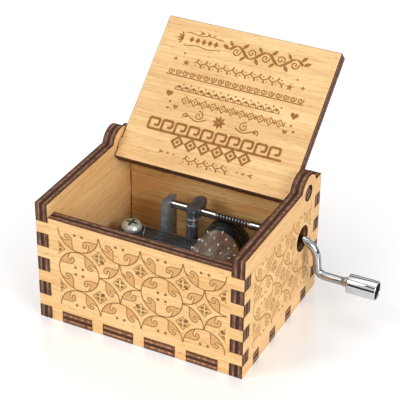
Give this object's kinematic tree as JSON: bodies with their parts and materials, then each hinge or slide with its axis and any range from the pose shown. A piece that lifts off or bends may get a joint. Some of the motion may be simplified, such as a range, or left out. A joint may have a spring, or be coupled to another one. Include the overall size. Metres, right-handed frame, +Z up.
{
  "type": "hand crank music box",
  "caption": "Finger-jointed plywood box with a lid that leans back open, and inside a pinned drum and steel comb turned by a worm on a bent crank with a sleeve knob.",
  "frame": {"origin": "the middle of the box's underside", "axes": "+X to the crank's side (the right, seen from the front), +Y to the back wall with the lid's pivots, +Z up"},
  "size_m": [0.0875, 0.0753, 0.0658],
  "materials": {
    "plywood": "clear-finished birch plywood with laser-burnt edges",
    "cast_zinc": "grey die-cast zinc, satin",
    "spring_steel": "ground spring steel",
    "bright_steel": "nickel-plated",
    "drum_metal": "dull plated sheet with bright pins",
    "black_plastic": "moulded, black",
    "chrome": "polished"
  },
  "bodies": {
    "case": {"floor_panel": "plywood", "front_panel": "plywood", "back_panel": "plywood", "left_panel": "plywood", "right_panel": "plywood", "movement_base": "cast_zinc", "comb_bed": "cast_zinc", "shaft_end_post": "cast_zinc", "bearing_pillar_inner": "cast_zinc", "bearing_pillar_outer": "cast_zinc", "drum_bracket_front": "cast_zinc", "drum_bracket_rear": "cast_zinc", "comb": "spring_steel", "comb_screw_rear": "bright_steel", "comb_screw_front": "bright_steel", "bracket_rivet_1": "bright_steel", "bracket_rivet_2": "bright_steel", "bracket_rivet_3": "bright_steel", "bracket_rivet_4": "bright_steel", "base_screw_1": "bright_steel", "base_screw_2": "bright_steel", "base_screw_3": "bright_steel"},
    "lid": {"lid": "plywood"},
    "crank": {"crank_rod": "chrome", "shaft_ring": "bright_steel", "knob_washer": "bright_steel"},
    "knob": {"crank_knob": "chrome"},
    "drum": {"pin_drum": "drum_metal", "drum_cap": "black_plastic", "worm_wheel": "black_plastic", "drum_arbor": "bright_steel"}
  },
  "joints": [
    {"name": "lid_hinge", "type": "hinge", "parent": "case", "child": "lid", "pos_m": [0, 0.0165, 0.0366], "axis": [1, 0, 0], "range_deg": [0, 139]},
    {"name": "crank_spin", "type": "hinge", "parent": "case", "child": "crank", "pos_m": [0, 0.0139, 0.0226], "axis": [1, 0, 0], "continuous": true},
    {"name": "drum_spin", "type": "hinge", "parent": "case", "child": "drum", "pos_m": [0.0083, 0, 0.01485], "axis": [0, 1, 0], "continuous": true},
    {"name": "knob_spin", "type": "hinge", "parent": "crank", "child": "knob", "pos_m": [0.0505, 0.0139, 0.0122], "axis": [1, 0, 0], "continuous": true}
  ],
  "couplings": [
    {"joint": "drum_spin", "follows": "crank_spin", "ratio": -0.022727}
  ]
}
